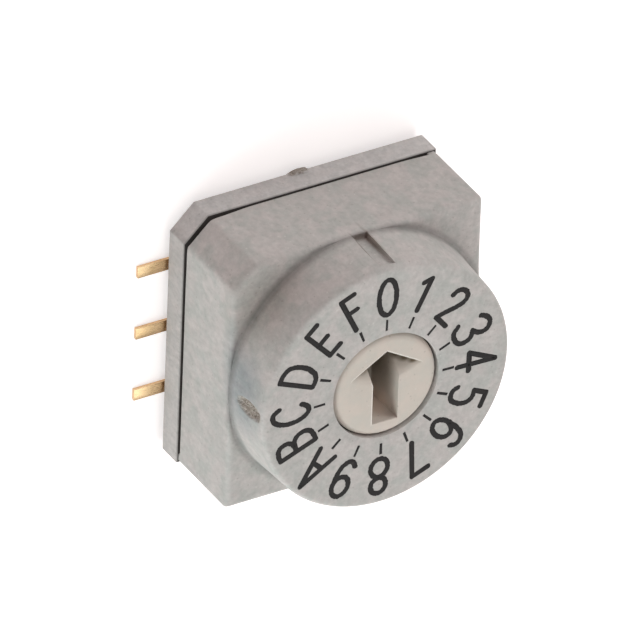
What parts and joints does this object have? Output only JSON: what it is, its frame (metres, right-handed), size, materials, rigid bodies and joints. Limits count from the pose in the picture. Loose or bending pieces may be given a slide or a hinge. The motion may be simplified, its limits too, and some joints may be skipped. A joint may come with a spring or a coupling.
{
  "type": "rotary dip switch",
  "caption": "Low square surface-mount rotary code switch with a round dial collar, an arrow-slotted rotor turned by a screwdriver, and gull-wing solder leads.",
  "frame": {"origin": "on the rotor's axis, in the plane of the undersides of the solder feet", "axes": "+Z out of the dial, away from the circuit board; +Y towards position 0 and the index notch; +X across the two rows of leads"},
  "size_m": [0.0122, 0.0101, 0.0068],
  "materials": {
    "moulded_grey": "matte glass-filled moulding",
    "moulded_base": "matte glass-filled moulding",
    "rotor_cream": "matte moulding",
    "seal_rubber": "smooth",
    "gold_contact": "gold plated",
    "spring_steel": "rolled strip",
    "gold_lead": "gold plated strip"
  },
  "bodies": {
    "case": {"housing": "moulded_grey", "base": "moulded_base", "detent_spring_left": "spring_steel", "detent_spring_right": "spring_steel", "terminal_1": "gold_lead", "terminal_2": "gold_lead", "terminal_4": "gold_lead", "terminal_8": "gold_lead", "terminal_common_left": "gold_lead", "terminal_common_right": "gold_lead"},
    "rotor": {"rotor": "rotor_cream", "code_plate": "gold_contact", "seal_ring": "seal_rubber"}
  },
  "joints": [
    {"name": "rotor_spin", "type": "hinge", "parent": "case", "child": "rotor", "pos_m": [0, 0, 0.003], "axis": [0, 0, 1], "continuous": true, "deforming": ["detent_spring_left", "detent_spring_right"]}
  ]
}
